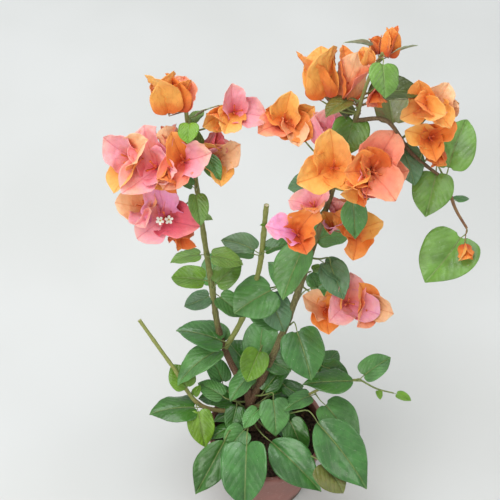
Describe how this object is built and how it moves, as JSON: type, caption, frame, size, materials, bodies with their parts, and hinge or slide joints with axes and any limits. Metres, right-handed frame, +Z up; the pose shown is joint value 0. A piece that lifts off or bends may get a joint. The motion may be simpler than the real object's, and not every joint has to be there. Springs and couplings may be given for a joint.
{
  "type": "potted bougainvillea shrub",
  "caption": "Young flowering shrub in a round nursery pot: a short forked woody stem, thin arching boughs, glossy pointed leaves and sprays of papery orange and pink bracts.",
  "frame": {"origin": "centre of the pot's flat underside", "axes": "+Z up, +X to the right and -Y towards the viewer of the reference view"},
  "size_m": [0.4005, 0.2629, 0.6982],
  "materials": {
    "pot": "dusty satin",
    "soil": "crumbly matte",
    "bark": "rough bark",
    "green_stem": "smooth young bark",
    "leaf": "glossy leaf",
    "bract_orange": "papery matte",
    "bract_coral": "papery matte",
    "bract_pink": "papery matte"
  },
  "bodies": {
    "root": {"pot": "pot", "soil": "soil", "trunk": "bark", "bough_left": "bark", "bough_right": "bark", "bough_right_top": "bark", "bough_right_side": "bark", "stub_middle": "green_stem", "stub_low_left": "green_stem", "shoot_low_right": "green_stem", "blossom_left_top": "bract_orange", "blossom_left_inner": "bract_orange", "blossom_left_mid": "bract_coral", "blossom_left_near": "bract_coral", "blossom_left_outer": "bract_pink", "blossom_left_low": "bract_pink", "blossom_middle_back": "bract_orange", "blossom_centre_left": "bract_orange", "blossom_centre_right": "bract_coral", "blossom_middle_low": "bract_coral", "blossom_right_low": "bract_orange", "blossom_right_front": "bract_pink", "blossom_crown_left": "bract_orange", "blossom_crown": "bract_orange", "blossom_side_upper": "bract_orange", "blossom_side_lower": "bract_orange", "leaves_left_top": "leaf", "leaves_left_high": "leaf", "leaves_left_upper": "leaf", "leaves_left_bend": "leaf", "leaves_left_elbow": "leaf", "leaves_left_back": "leaf", "leaves_fork": "leaf", "leaves_stub_high": "leaf", "leaves_stub_low": "leaf", "leaves_right_low": "leaf", "leaves_right_mid": "leaf", "leaves_right_inner": "leaf", "leaves_right_back": "leaf", "leaves_right_upper": "leaf", "leaves_right_high": "leaf", "leaves_back_right": "leaf", "leaves_crown": "leaf", "leaves_crown_back": "leaf", "leaves_side_near": "leaf", "leaves_side_tip": "leaf", "leaves_side_end": "leaf", "leaves_heart": "leaf", "leaves_heart_right": "leaf", "leaves_heart_left": "leaf", "leaves_front": "leaf", "leaves_front_left": "leaf", "leaves_front_right": "leaf", "leaves_rim_right": "leaf", "leaves_back": "leaf", "leaves_low_left": "leaf", "leaves_low_left_foot": "leaf", "leaves_shoot_low": "leaf", "leaves_shoot_mid": "leaf", "leaves_shoot_tip": "leaf"}
  },
  "joints": []
}
